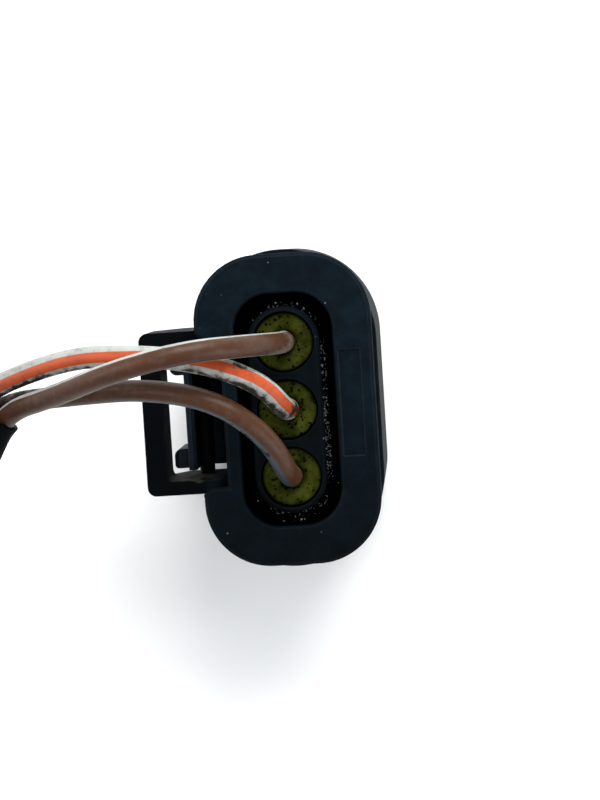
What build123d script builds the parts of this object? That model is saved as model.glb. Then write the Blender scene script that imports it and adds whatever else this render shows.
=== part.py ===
from build123d import *
import os
from math import radians, tan

# Three-way sealed automotive connector with its cut pigtail, standing on its mating rim, wire side up.
# Millimetres. Origin: centre of the mating rim, on the plane it stands on.
# +Z points out of the wire side, +Y runs along the row of cavities, and the latch is on the -X side.

# Cavity row, wire seals and the island that holds them
cavity_pitch = 6.8
seal_bore = 6.2
island_wall = 0.5
island_edge = 0.3
seal_face = 5.9
seal_face_recess = 0.6
seal_face_thickness = 1.0
seal_length = 6.8
seal_core = 5.2
seal_rib_radius = 0.45
seal_rib_pitch = 1.7
seal_first_rib = 1.1
seal_squeeze = 0.05
seal_shelf_gap = 0.6
seal_neck = 3.5
seal_neck_length = 2.0
seal_dimple = 3.3
seal_dimple_depth = 0.9

# Housing walls, from the island outwards, and its heights
groove_gap = 1.35
groove_corner = 3.7
groove_edge = 0.2
groove_depth = 10.0
socket_wall = 1.5
core_gap = 1.35
core_depth = 6.0
skirt_wall = 1.5
rib_thickness = 1.2
rib_recess = 2.0
rib_bite = 0.3
body_length = 27.0
web_thickness = 3.0
nose_step = 0.6
nose_recess = 4.8
nose_wall = 1.2
cut_margin = 0.5
pick_margin = 0.01

# Flange round the wire side, with the notch over the latch and a bare sunken field on the other side
flange_thickness = 2.6
flange_inset = 0.4
flange_corner = 6.6
flange_edge = 0.3
notch_margin = 0.5
notch_corner = 1.2
field_width = 2.2
field_height = 10.7
field_inset = 1.3
field_offset = 0.35
field_depth = 0.15

# Latch guard: a loop that stands out from the side of the body
lever_width = 12.0
lever_side_gap = 0.95
guard_wall = 1.4
guard_bar = 2.05
guard_bar_depth = 7.0
guard_wall_depth = 13.0
cheek_bite = 0.6
guard_drop = 4.0
guard_slope_foot = 2.0
guard_outer_corner = 0.9
guard_inner_corner = 0.8
thumb_rail_gap = 0.65

# Latch lever and the two stubs it turns on
fulcrum_depth = 1.9
fulcrum_end_gap = 1.1
fulcrum_height = 5.0
hub_radius = 0.95
hub_gap = 0.2
pivot_drop = 13.0
trunnion_radius = 0.8
trunnion_clearance = 0.05
trunnion_length = 0.8
trunnion_end_gap = 0.15
plate_thickness = 0.82
plate_offset = 0.43
plate_chamfer = 0.35
lever_rear_drop = 5.5
lever_front_gap = 1.5
thumb_rail_width = 2.0
thumb_rail_inset = 0.2
thumb_rail_height = 1.55
thumb_rail_drop = 6.5
thumb_rail_length = 7.0
thumb_rail_chamfer = 0.5
thumb_rail_inner_round = 0.8
thumb_rail_outer_round = 0.35
hook_width = 5.6
hook_length = 2.9
hook_nose = 1.0
hook_ramp = 1.3
hook_recess = 0.35
hook_side_gap = 0.4
hook_end_gap = 1.1

# Terminals: a contact box, its steel spring sleeve and two crimps
box_width = 2.6
box_height = 3.0
box_wall = 0.3
box_front_gap = 0.2
spring_wall = 0.2
spring_inset = 0.4
chamber_clearance = 0.2
slot_width = 1.4
slot_height = 3.2
crimp_bore = 4.6
crimp_wall = 0.3
crimp_squeeze = 0.03
crimp_length = 2.6
crimp_flare = 0.9
crimp_gap = 1.2
strip_width = 1.6
strand_radius = 0.6
strand_tip = 0.2
lance_reach = 0.45
lance_length = 2.8
lance_width = 1.2
lance_clearance = 0.2

# Secondary lock: a plate in front of the terminals, with two posts between the cavities
lock_gap = 0.2
lock_inset = 0.2
lock_thickness = 1.2
lock_travel = 1.5
post_width = 2.4
post_height = 1.6
post_length = 6.4
post_clearance = 0.1
post_end_gap = 0.3

# Interface seal at the root of the socket
face_seal_wall = 0.9
face_seal_rib = 0.6
face_seal_rib_width = 0.7
face_seal_length = 3.4

# Pigtail
wire_diameter = 2.2
insulation_reach = 0.4
bare_length = 6.0
sleeve_outer = 8.2
sleeve_wall = 0.5

# Widths worked out from the island outwards
island_width = seal_bore + 2 * island_wall
island_height = island_width + 2 * cavity_pitch
nose_width = island_width - 2 * nose_step
nose_height = island_height - 2 * nose_step
groove_width = island_width + 2 * groove_gap
groove_height = island_height + 2 * groove_gap
socket_width = groove_width + 2 * socket_wall
socket_height = groove_height + 2 * socket_wall
core_width = socket_width + 2 * core_gap
core_height = socket_height + 2 * core_gap
skirt_width = core_width + 2 * skirt_wall
skirt_height = core_height + 2 * skirt_wall
flange_width = skirt_width - 2 * flange_inset
flange_height = skirt_height - 2 * flange_inset

# Latch bay: distances from the middle of the connector towards -X, and half widths in Y
bay_face = socket_width / 2
pivot_reach = bay_face + fulcrum_depth + hub_gap + hub_radius
plate_inner = pivot_reach + plate_offset
plate_outer = plate_inner + plate_thickness
rail_outer = plate_outer + thumb_rail_height
bar_inner = rail_outer + thumb_rail_gap
guard_reach = bar_inner + guard_bar
guard_inner_half = lever_width / 2 + lever_side_gap
guard_outer_half = guard_inner_half + guard_wall
notch_half = guard_inner_half + notch_margin
flange_flat_half = flange_height / 2 - flange_corner
notch_round = min(notch_corner, 0.9 * (flange_flat_half - notch_half))
fulcrum_half = guard_inner_half - fulcrum_end_gap
rail_outer_half = lever_width / 2 - thumb_rail_inset
rail_inner_half = rail_outer_half - thumb_rail_width

# Heights
flange_under = body_length - flange_thickness
groove_floor = body_length - groove_depth
socket_root = groove_floor - web_thickness
guard_top = body_length - guard_drop
bar_bottom = guard_top - guard_bar_depth
wall_bottom = guard_top - guard_wall_depth
pivot_height = body_length - pivot_drop
lever_rear = body_length - lever_rear_drop
rail_rear = body_length - thumb_rail_drop
hook_rear = lever_front_gap + hook_length
seal_rear = body_length - seal_face_recess
seal_front = seal_rear - seal_length
seal_shelf = seal_front - seal_shelf_gap
neck_front = seal_front - seal_neck_length
insulation_end = neck_front + insulation_reach
crimp_rear = neck_front - crimp_flare
crimp_front = crimp_rear - crimp_length
chamber_floor = nose_recess + nose_wall
box_front = chamber_floor + box_front_gap
box_rear = crimp_front - crimp_gap
spring_front = box_front + spring_inset
spring_rear = box_rear - spring_inset
spring_width = box_width + 2 * spring_wall
spring_height = box_height + 2 * spring_wall
chamber_width = spring_width + 2 * chamber_clearance
chamber_height = spring_height + 2 * chamber_clearance
lance_front = (spring_front + spring_rear - lance_length) / 2
lance_rear = lance_front + lance_length
lock_rear = nose_recess - lock_gap
lock_front = lock_rear - lock_thickness

cavity_rows = [cavity_pitch, 0.0, -cavity_pitch]

# Wire 1 is brown with a white stripe, wire 2 white with orange, wire 3 brown with blue grey.
wire_names = ["wire_brown_white", "wire_white_orange", "wire_brown_blue"]

# Each wire leaves its seal straight up to this height above the flange, and then bends over to the sleeve.
straight_rises = [2.2, 1.8, 1.6]
free_routes = [
    [(-2.8, 7.0, 36.2), (-8.8, 6.9, 40.0), (-16.2, 5.3, 38.2), (-22.3, 3.1, 32.6)],
    [(-2.0, 3.2, 34.0), (-7.4, 5.7, 36.0), (-14.2, 6.6, 34.4), (-21.6, 6.7, 31.2)],
    [(-1.7, -2.2, 33.0), (-6.6, 1.8, 34.6), (-13.6, 3.2, 32.2), (-21.2, 2.8, 27.8)],
]

# The bundle's own line, from just before the sleeve down to the floor and along it.
bundle_route = [
    (-30.9, 2.1, 25.4),
    (-36.2, -7.0, 25.4),
    (-41.2, -15.0, 18.4),
    (-46.0, -22.6, 8.4),
    (-52.0, -30.6, 4.12),
    (-60.4, -37.4, 4.12),
]
sleeve_mouth = (-31.4, 1.3, 25.4)

# Each wire's place in the bundle: to the left of its heading, and up from it.
bundle_places = [(1.8, 0.1), (-1.8, 0.8), (0.1, -1.7)]

# Each wire's tail past the end of the sleeve.
tail_routes = [
    [(-66.2, -44.0, 3.2), (-70.8, -49.6, 1.4), (-74.6, -54.6, 1.15)],
    [(-69.2, -39.4, 2.6), (-75.6, -40.7, 1.25), (-81.2, -41.3, 1.15)],
    [(-67.2, -42.2, 1.8), (-73.4, -46.2, 1.2), (-79.0, -49.4, 1.15)],
]


def bend_radii(points):
    """Radius at each corner: 0.45 of the shorter run, divided by the tangent of half the turn."""
    corners = [Vector(*point) for point in points]
    radii = []
    for before, corner, after in zip(corners, corners[1:], corners[2:]):
        run_in = corner - before
        run_out = after - corner
        half_turn = radians(run_in.get_angle(run_out)) / 2
        radii.append(0.45 * min(run_in.length, run_out.length) / tan(half_turn))
    return radii


def beside(route, left, rise):
    """The points of a route moved sideways, square to its heading at each point."""
    points = [Vector(*point) for point in route]
    moved = []
    for index, point in enumerate(points):
        behind = points[max(index - 1, 0)]
        ahead = points[min(index + 1, len(points) - 1)]
        run_in = (point - behind) if index > 0 else (ahead - point)
        run_out = (ahead - point) if index < len(points) - 1 else run_in
        heading = (run_in.normalized() + run_out.normalized()).normalized()
        across = Vector(-heading.Y, heading.X, 0).normalized()
        moved.append(tuple(point + across * left + heading.cross(across) * rise))
    return moved


def report_route(name, points):
    """Prints the radii at which a cord bends."""
    radii = ", ".join(f"{radius:.1f}" for radius in bend_radii(points))
    print(f"{name}: bend radii {radii} mm")


# Housing: flange, skirt, socket, island and latch guard are one moulding
with BuildPart() as housing:
    with BuildSketch(Plane.XY.offset(flange_under)) as flange_outline:
        RectangleRounded(flange_width, flange_height, flange_corner)
        with Locations((-flange_width / 2, 0)):
            Rectangle(flange_width - 2 * bay_face, 2 * notch_half, mode=Mode.SUBTRACT)
        notch_mouth = flange_outline.vertices().filter_by(
            lambda v: abs(v.X + flange_width / 2) + abs(abs(v.Y) - notch_half) < pick_margin
        )
        fillet(notch_mouth, notch_round)
        RectangleRounded(groove_width, groove_height, groove_corner, mode=Mode.SUBTRACT)
    extrude(amount=flange_thickness)
    flange_face = housing.faces().sort_by(Axis.Z)[-1]
    chamfer(flange_face.outer_wire().edges(), flange_edge)
    groove_mouth = housing.faces().sort_by(Axis.Z)[-1].inner_wires()[0]
    chamfer(groove_mouth.edges(), groove_edge)

    # Body wall, cored out at the mating rim so that a skirt stands round the socket wall there
    with BuildSketch():
        SlotOverall(skirt_height, skirt_width, rotation=90)
        RectangleRounded(groove_width, groove_height, groove_corner, mode=Mode.SUBTRACT)
    extrude(amount=flange_under)
    with BuildSketch():
        SlotOverall(core_height, core_width, rotation=90)
        RectangleRounded(socket_width, socket_height, groove_corner + socket_wall, mode=Mode.SUBTRACT)
    extrude(amount=core_depth, mode=Mode.SUBTRACT)

    # Web between the rear groove and the socket
    with BuildSketch(Plane.XY.offset(socket_root)):
        RectangleRounded(groove_width, groove_height, groove_corner)
    extrude(amount=web_thickness)

    # Island with the seal bores behind the web, and its nose in front of it
    with BuildSketch(Plane.XY.offset(groove_floor)):
        SlotOverall(island_height, island_width, rotation=90)
    extrude(amount=groove_depth)
    island_face = housing.faces().group_by(Axis.Z)[-1].sort_by(SortBy.AREA)[0]
    chamfer(island_face.outer_wire().edges(), island_edge)
    with BuildSketch(Plane.XY.offset(nose_recess)):
        SlotOverall(nose_height, nose_width, rotation=90)
    extrude(amount=socket_root - nose_recess)

    # Ribs across the core-out
    with BuildSketch(Plane.XY.offset(rib_recess)):
        with Locations(
            ((socket_width + core_gap) / 2, cavity_pitch), ((socket_width + core_gap) / 2, -cavity_pitch)
        ):
            Rectangle(core_gap + 2 * rib_bite, rib_thickness)
        with Locations((0, (socket_height + core_gap) / 2), (0, -(socket_height + core_gap) / 2)):
            Rectangle(rib_thickness, core_gap + 2 * rib_bite)
    extrude(amount=core_depth - rib_recess)

    # Latch bay, and the cheeks that close the core on both sides of it
    bay_cut = skirt_width / 2 - bay_face + cut_margin
    with BuildSketch():
        with Locations((-bay_face - bay_cut / 2, 0)):
            Rectangle(bay_cut, 2 * guard_outer_half)
    extrude(amount=flange_under, mode=Mode.SUBTRACT)
    with BuildSketch():
        with Locations(
            (-bay_face - core_gap / 2, guard_outer_half + guard_wall / 2),
            (-bay_face - core_gap / 2, -guard_outer_half - guard_wall / 2),
        ):
            Rectangle(core_gap + 2 * cheek_bite, guard_wall)
    extrude(amount=core_depth)

    # Guard: two side walls with a sloping front edge, joined by the outer bar
    with BuildSketch(Plane.XZ.offset(guard_inner_half), Plane.XZ.offset(-guard_outer_half)):
        with BuildLine():
            Polyline(
                (-bay_face + rib_bite, guard_top),
                (-guard_reach, guard_top),
                (-guard_reach, bar_bottom),
                (-pivot_reach - guard_slope_foot, wall_bottom),
                (-bay_face + rib_bite, wall_bottom),
                close=True,
            )
        make_face()
    extrude(amount=guard_wall)
    with BuildSketch(Plane.XY.offset(bar_bottom)):
        with Locations((-guard_reach + guard_bar / 2, 0)):
            Rectangle(guard_bar, 2 * guard_outer_half)
    extrude(amount=guard_bar_depth)
    guard_corners = housing.edges().filter_by(Axis.Z).filter_by_position(
        Axis.X, -guard_reach - pick_margin, -guard_reach + pick_margin
    )
    fillet(guard_corners, guard_outer_corner)
    guard_throat = housing.edges().filter_by(Axis.Z).filter_by_position(
        Axis.X, -bar_inner - pick_margin, -bar_inner + pick_margin
    )
    fillet(guard_throat, guard_inner_corner)

    # Fulcrum block behind the lever, bores for its stubs and the window for its hook
    with BuildSketch(Plane.XY.offset(pivot_height - fulcrum_height / 2)):
        with Locations((-bay_face - fulcrum_depth / 2, 0)):
            Rectangle(fulcrum_depth, 2 * fulcrum_half)
    extrude(amount=fulcrum_height)
    with BuildSketch(Plane.XZ):
        with Locations((-pivot_reach, pivot_height)):
            Circle(trunnion_radius + trunnion_clearance)
    extrude(amount=guard_inner_half + trunnion_length + trunnion_end_gap, both=True, mode=Mode.SUBTRACT)
    with BuildSketch():
        with Locations((-bay_face + socket_wall / 2, 0)):
            Rectangle(socket_wall + 2 * cut_margin, hook_width + 2 * hook_side_gap)
    extrude(amount=hook_rear + hook_end_gap, mode=Mode.SUBTRACT)

    # Cavities: seal bore, crimp bore, contact chamber with its lance pocket, blade slot
    for row in cavity_rows:
        with BuildSketch(Plane.XY.offset(seal_shelf)):
            with Locations((0, row)):
                Circle(seal_bore / 2)
        extrude(amount=body_length - seal_shelf, mode=Mode.SUBTRACT)
        with BuildSketch(Plane.XY.offset(box_rear)):
            with Locations((0, row)):
                Circle(crimp_bore / 2)
        extrude(amount=seal_shelf - box_rear, mode=Mode.SUBTRACT)
        with BuildSketch(Plane.XY.offset(chamber_floor)):
            with Locations((0, row)):
                Rectangle(chamber_width, chamber_height)
        extrude(amount=box_rear + chamber_clearance - chamber_floor, mode=Mode.SUBTRACT)
        with BuildSketch(Plane.XY.offset(lance_front)):
            with Locations((chamber_width / 2, row)):
                Rectangle(2 * (lance_reach + lance_clearance), lance_width + 2 * lance_clearance)
        extrude(amount=lance_length + lance_clearance, mode=Mode.SUBTRACT)
        with BuildSketch(Plane.XY.offset(nose_recess)):
            with Locations((0, row)):
                Rectangle(slot_width, slot_height)
        extrude(amount=nose_wall, mode=Mode.SUBTRACT)

    # Pockets for the posts of the secondary lock
    with BuildSketch(Plane.XY.offset(nose_recess)):
        with Locations((0, cavity_pitch / 2), (0, -cavity_pitch / 2)):
            Rectangle(post_width + 2 * post_clearance, post_height + 2 * post_clearance)
    extrude(amount=post_length - lock_gap + post_end_gap, mode=Mode.SUBTRACT)

    # Bare sunken field on the flange
    with BuildSketch(Plane.XY.offset(body_length - field_depth)):
        with Locations((flange_width / 2 - field_inset - field_width / 2, field_offset)):
            Rectangle(field_width, field_height)
    extrude(amount=field_depth, mode=Mode.SUBTRACT)

# Latch lever: plate, hub, thumb rails, hook and the two stubs in one moulding
with BuildPart() as latch_lever:
    with BuildSketch(Plane.XZ):
        with BuildLine():
            Polyline(
                (-plate_outer, lever_front_gap),
                (-plate_inner, lever_front_gap),
                (-plate_inner, lever_rear - plate_chamfer),
                (-plate_inner - plate_chamfer, lever_rear),
                (-plate_outer, lever_rear),
                close=True,
            )
        make_face()
        with Locations((-pivot_reach, pivot_height)):
            Circle(hub_radius)
    extrude(amount=lever_width / 2, both=True)
    with BuildSketch(Plane.XZ.offset(rail_inner_half), Plane.XZ.offset(-rail_outer_half)):
        with BuildLine():
            Polyline(
                (-plate_outer, rail_rear - thumb_rail_length),
                (-rail_outer, rail_rear - thumb_rail_length),
                (-rail_outer, rail_rear - thumb_rail_chamfer),
                (-rail_outer + thumb_rail_chamfer, rail_rear),
                (-plate_outer, rail_rear),
                close=True,
            )
        make_face()
    extrude(amount=thumb_rail_width)
    rail_corners = latch_lever.edges().filter_by(Axis.Z).group_by(Axis.X)[0].sort_by(Axis.Y)
    fillet([rail_corners[0], rail_corners[-1]], thumb_rail_outer_round)
    inner_corners = latch_lever.edges().filter_by(Axis.Z).filter_by(
        lambda e: abs(e.center().X + rail_outer) + abs(abs(e.center().Y) - rail_inner_half) < pick_margin
    )
    fillet(inner_corners, thumb_rail_inner_round)
    with BuildSketch(Plane.XZ):
        hook_tip = bay_face - socket_wall + hook_recess
        with BuildLine():
            Polyline(
                (-plate_inner, lever_front_gap),
                (-hook_tip - hook_ramp, lever_front_gap),
                (-hook_tip, hook_rear - hook_nose),
                (-hook_tip, hook_rear),
                (-plate_inner, hook_rear),
                close=True,
            )
        make_face()
    extrude(amount=hook_width / 2, both=True)
    with BuildSketch(Plane.XZ):
        with Locations((-pivot_reach, pivot_height)):
            Circle(trunnion_radius)
    extrude(amount=guard_inner_half + trunnion_length, both=True)

# Interface seal: a ribbed ring on the nose, against the web
with BuildPart() as interface_seal:
    with BuildSketch(Plane.XY.offset(socket_root - face_seal_length)):
        SlotOverall(nose_height + 2 * face_seal_wall, nose_width + 2 * face_seal_wall, rotation=90)
    extrude(amount=face_seal_length)
    rib_step = (face_seal_length - face_seal_rib_width) / 3
    with BuildSketch(
        Plane.XY.offset(socket_root - face_seal_length + rib_step),
        Plane.XY.offset(socket_root - face_seal_length + 2 * rib_step),
    ):
        rib_reach = face_seal_wall + face_seal_rib
        SlotOverall(nose_height + 2 * rib_reach, nose_width + 2 * rib_reach, rotation=90)
    extrude(amount=face_seal_rib_width)
    with BuildSketch(Plane.XY.offset(socket_root - face_seal_length)):
        SlotOverall(nose_height - 2 * seal_squeeze, nose_width - 2 * seal_squeeze, rotation=90)
    extrude(amount=face_seal_length, mode=Mode.SUBTRACT)

# Secondary lock: front plate with a window for each blade, and two posts beside the lances
with BuildPart() as secondary_lock:
    with BuildSketch(Plane.XY.offset(lock_front)):
        SlotOverall(nose_height - 2 * lock_inset, nose_width - 2 * lock_inset, rotation=90)
        for row in cavity_rows:
            with Locations((0, row)):
                Rectangle(slot_width, slot_height, mode=Mode.SUBTRACT)
    extrude(amount=lock_thickness)
    with BuildSketch(Plane.XY.offset(lock_rear)):
        with Locations((0, cavity_pitch / 2), (0, -cavity_pitch / 2)):
            Rectangle(post_width, post_height)
    extrude(amount=post_length)

housing.part.label = "housing"
latch_lever.part.label = "latch_lever"
interface_seal.part.label = "interface_seal"
secondary_lock.part.label = "secondary_lock"
os.makedirs("parts", exist_ok=True)
export_step(housing.part, "parts/housing.step")
export_step(latch_lever.part, "parts/latch_lever.step")
export_step(interface_seal.part, "parts/interface_seal.step")
export_step(secondary_lock.part, "parts/secondary_lock.step")

# What fills each cavity: wire seal, terminal, its spring sleeve and the crimped strands
for number, row in enumerate(cavity_rows, start=1):
    cavity_section = Plane.XZ.offset(-row)
    cavity_axis = Axis((0, row, 0), (0, 0, 1))

    with BuildPart() as wire_seal:
        with BuildSketch(cavity_section):
            with BuildLine():
                Polyline(
                    (0, neck_front),
                    (seal_neck / 2, neck_front),
                    (seal_neck / 2, seal_front),
                    (seal_core / 2, seal_front),
                    (seal_core / 2, seal_rear - seal_face_thickness),
                    (seal_face / 2, seal_rear - seal_face_thickness),
                    (seal_face / 2, seal_rear),
                    (0, seal_rear),
                    close=True,
                )
            make_face()
            rib_middle = seal_bore / 2 + seal_squeeze - seal_rib_radius
            for step in range(3):
                with Locations((rib_middle, seal_front + seal_first_rib + step * seal_rib_pitch)):
                    Circle(seal_rib_radius)
        revolve(axis=cavity_axis)
        with BuildSketch(cavity_section):
            with BuildLine():
                Polyline(
                    (0, neck_front),
                    (wire_diameter / 2 - seal_squeeze, neck_front),
                    (wire_diameter / 2 - seal_squeeze, seal_rear - seal_dimple_depth),
                    (seal_dimple / 2, seal_rear),
                    (0, seal_rear),
                    close=True,
                )
            make_face()
        revolve(axis=cavity_axis, mode=Mode.SUBTRACT)
    wire_seal.part.label = f"wire_seal_{number}"
    export_step(wire_seal.part, f"parts/wire_seal_{number}.step")

    barrel_inner = strand_radius - crimp_squeeze
    grip_inner = seal_neck / 2 - crimp_squeeze
    strip_outer = barrel_inner + crimp_wall
    with BuildPart() as terminal:
        with BuildSketch(Plane.XY.offset(box_front)):
            with Locations((0, row)):
                Rectangle(box_width, box_height)
                Rectangle(box_width - 2 * box_wall, box_height - 2 * box_wall, mode=Mode.SUBTRACT)
        extrude(amount=box_rear - box_front)
        with BuildSketch(cavity_section):
            with BuildLine():
                Polyline(
                    (-box_width / 2, box_rear - crimp_wall),
                    (-barrel_inner, box_rear - crimp_wall),
                    (-barrel_inner, crimp_front + crimp_wall),
                    (-strip_outer, crimp_front + crimp_wall),
                    (-strip_outer, box_rear + crimp_wall),
                    (-box_width / 2, box_rear),
                    close=True,
                )
            make_face()
        extrude(amount=strip_width / 2, both=True)
        with BuildSketch(cavity_section):
            with BuildLine():
                Polyline(
                    (barrel_inner, crimp_front),
                    (barrel_inner + crimp_wall, crimp_front),
                    (barrel_inner + crimp_wall, crimp_rear),
                    (grip_inner + crimp_wall, neck_front),
                    (grip_inner + crimp_wall, seal_shelf),
                    (grip_inner, seal_shelf),
                    (grip_inner, neck_front),
                    (barrel_inner, crimp_rear),
                    close=True,
                )
            make_face()
        revolve(axis=cavity_axis)
    terminal.part.label = f"terminal_{number}"
    export_step(terminal.part, f"parts/terminal_{number}.step")

    with BuildPart() as terminal_spring:
        with BuildSketch(Plane.XY.offset(spring_front)):
            with Locations((0, row)):
                Rectangle(spring_width, spring_height)
                Rectangle(box_width, box_height, mode=Mode.SUBTRACT)
        extrude(amount=spring_rear - spring_front)
        with BuildSketch(cavity_section):
            lance_root = spring_width / 2 - spring_wall / 2
            with BuildLine():
                Polyline(
                    (lance_root, lance_front + lance_clearance),
                    (spring_width / 2 + lance_reach, lance_rear),
                    (spring_width / 2 + lance_reach - spring_wall, lance_rear),
                    (lance_root, lance_front + 3 * lance_clearance),
                    close=True,
                )
            make_face()
        extrude(amount=lance_width / 2, both=True)
    terminal_spring.part.label = f"terminal_spring_{number}"
    export_step(terminal_spring.part, f"parts/terminal_spring_{number}.step")

    with BuildPart() as crimped_strands:
        with BuildSketch(Plane.XY.offset(crimp_front - strand_tip)):
            with Locations((0, row)):
                Circle(strand_radius)
        extrude(amount=insulation_end - crimp_front + strand_tip)
    crimped_strands.part.label = f"crimped_strands_{number}"
    export_step(crimped_strands.part, f"parts/crimped_strands_{number}.step")

# Wires: each from its crimp, through the seal and the sleeve, to its stripped end on the floor
for number, name in enumerate(wire_names, start=1):
    left, rise = bundle_places[number - 1]
    row = cavity_rows[number - 1]
    seal_run = [(0, row, insulation_end), (0, row, body_length + straight_rises[number - 1])]
    bundle_run = beside(bundle_route, left, rise)
    wire_route = seal_run + free_routes[number - 1] + bundle_run + tail_routes[number - 1]
    report_route(name, wire_route)
    with BuildPart() as wire:
        with BuildLine() as wire_line:
            FilletPolyline(*wire_route, radius=bend_radii(wire_route))
        with BuildSketch(Plane(origin=wire_line.line @ 0, z_dir=wire_line.line % 0)):
            Circle(wire_diameter / 2)
        sweep()
    wire.part.label = name
    export_step(wire.part, f"parts/{name}.step")
    print(f"{name}: length {wire_line.wires()[0].length:.1f} mm")

    with BuildPart() as bare_strands:
        with BuildSketch(Plane(origin=wire_line.line @ 1, z_dir=wire_line.line % 1)):
            Circle(strand_radius)
        extrude(amount=bare_length)
    bare_strands.part.label = f"bare_strands_{number}"
    export_step(bare_strands.part, f"parts/bare_strands_{number}.step")

# Sleeve round the bundle
sleeve_route = [sleeve_mouth] + bundle_route[1:]
report_route("harness_sleeve", sleeve_route)
with BuildPart() as harness_sleeve:
    with BuildLine() as sleeve_line:
        FilletPolyline(*sleeve_route, radius=bend_radii(sleeve_route))
    with BuildSketch(Plane(origin=sleeve_line.line @ 0, z_dir=sleeve_line.line % 0)):
        Circle(sleeve_outer / 2)
        Circle(sleeve_outer / 2 - sleeve_wall, mode=Mode.SUBTRACT)
    sweep()
harness_sleeve.part.label = "harness_sleeve"
export_step(harness_sleeve.part, "parts/harness_sleeve.step")
print(f"harness_sleeve: length {sleeve_line.wires()[0].length:.1f} mm")
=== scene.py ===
"""Looks of a sealed three-way connector and its pigtail: wires, seals, sleeve, grit, finishes and studio."""

import bpy
import numpy as np
from bpy.props import FloatProperty, FloatVectorProperty, IntProperty, PointerProperty
from bpy.types import Operator, Panel, PropertyGroup
from mathutils import Matrix, Vector


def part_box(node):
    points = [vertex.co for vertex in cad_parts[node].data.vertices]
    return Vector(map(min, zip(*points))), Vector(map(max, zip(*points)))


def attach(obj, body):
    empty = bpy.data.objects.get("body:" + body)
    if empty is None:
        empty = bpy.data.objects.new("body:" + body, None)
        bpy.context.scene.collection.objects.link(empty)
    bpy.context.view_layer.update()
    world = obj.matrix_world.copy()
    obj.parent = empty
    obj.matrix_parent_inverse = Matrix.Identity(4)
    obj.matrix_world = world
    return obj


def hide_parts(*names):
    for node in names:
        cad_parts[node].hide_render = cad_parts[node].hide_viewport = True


bl_info = {
    "name": "Sealed connector looks",
    "version": (1, 0, 0),
    "blender": (4, 5, 0),
    "location": "3D View > Sidebar > Connector",
    "description": "Dresses a sealed three-way wire connector and lights it",
    "category": "Object",
}

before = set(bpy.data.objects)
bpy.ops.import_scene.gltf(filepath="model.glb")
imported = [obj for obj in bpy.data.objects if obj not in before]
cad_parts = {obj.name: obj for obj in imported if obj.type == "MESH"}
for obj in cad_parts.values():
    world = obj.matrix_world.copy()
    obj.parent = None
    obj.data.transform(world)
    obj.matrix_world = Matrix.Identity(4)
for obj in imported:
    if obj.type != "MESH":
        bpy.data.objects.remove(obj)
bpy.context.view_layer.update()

MM = 0.001
TURN = 2 * np.pi

# Cavities from the top of the photograph down, in millimetres, and the wire in each
WIRES = ("wire_brown_white", "wire_white_orange", "wire_brown_blue")
CAVITY_PITCH = 6.8
CAVITY_ROWS = (CAVITY_PITCH, 0.0, -CAVITY_PITCH)

# Each wire's route, in millimetres: up through its seal, over to the sleeve, along the bundle, and its tail
SEAL_RUNS = (
    ((0, 6.8, 18.0), (0, 6.8, 21.8), (0, 6.8, 29.2)),
    ((0, 0, 18.0), (0, 0, 22.6), (0, 0, 28.8)),
    ((0, -6.8, 18.0), (0, -6.8, 22.2), (0, -6.8, 28.6)),
)
FREE_ROUTES = (
    ((-2.8, 7.0, 36.2), (-8.8, 6.9, 40.0), (-16.2, 5.3, 38.2), (-22.3, 3.1, 32.6)),
    ((-2.0, 3.2, 34.0), (-7.4, 5.7, 36.0), (-14.2, 6.6, 34.4), (-21.6, 6.7, 31.2)),
    ((-1.7, -2.2, 33.0), (-6.6, 1.8, 34.6), (-13.6, 3.2, 32.2), (-21.2, 2.8, 27.8)),
)
BUNDLE_ROUTE = (
    (-30.9, 2.1, 25.4),
    (-36.2, -7.0, 25.4),
    (-41.2, -15.0, 18.4),
    (-46.0, -22.6, 8.4),
    (-52.0, -30.6, 4.12),
    (-60.4, -37.4, 4.12),
)
BUNDLE_PLACES = ((1.8, 0.1), (-1.8, 0.8), (0.1, -1.7))
TAIL_ROUTES = (
    ((-66.2, -44.0, 3.2), (-70.8, -49.6, 1.4), (-74.6, -54.6, 1.15)),
    ((-69.2, -39.4, 2.6), (-75.6, -40.7, 1.25), (-81.2, -41.3, 1.15)),
    ((-67.2, -42.2, 1.8), (-73.4, -46.2, 1.2), (-79.0, -49.4, 1.15)),
)
# Half a millimetre from the mouth of the CAD sleeve, as the photograph has it; wire 1 cuts its rim there
SLEEVE_MOUTH = (-31.4, 1.75, 25.1)

# Each stripe's turn about its wire, as (mm along, share of a turn)
STRIPE_TURNS = (
    ((0, 0.255), (14, 0.24), (20, 0.235), (26, 0.222), (36, 0.212), (48, 0.2), (60, 0.14)),
    ((0, 0.0), (11, -0.063), (14, -0.075), (18, -0.04), (24, -0.06), (32, -0.105), (44, -0.15), (60, -0.19)),
    ((0, -0.27), (12, -0.325), (20, -0.338), (24, -0.358), (32, -0.4), (38, -0.43), (60, -0.5)),
)

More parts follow.
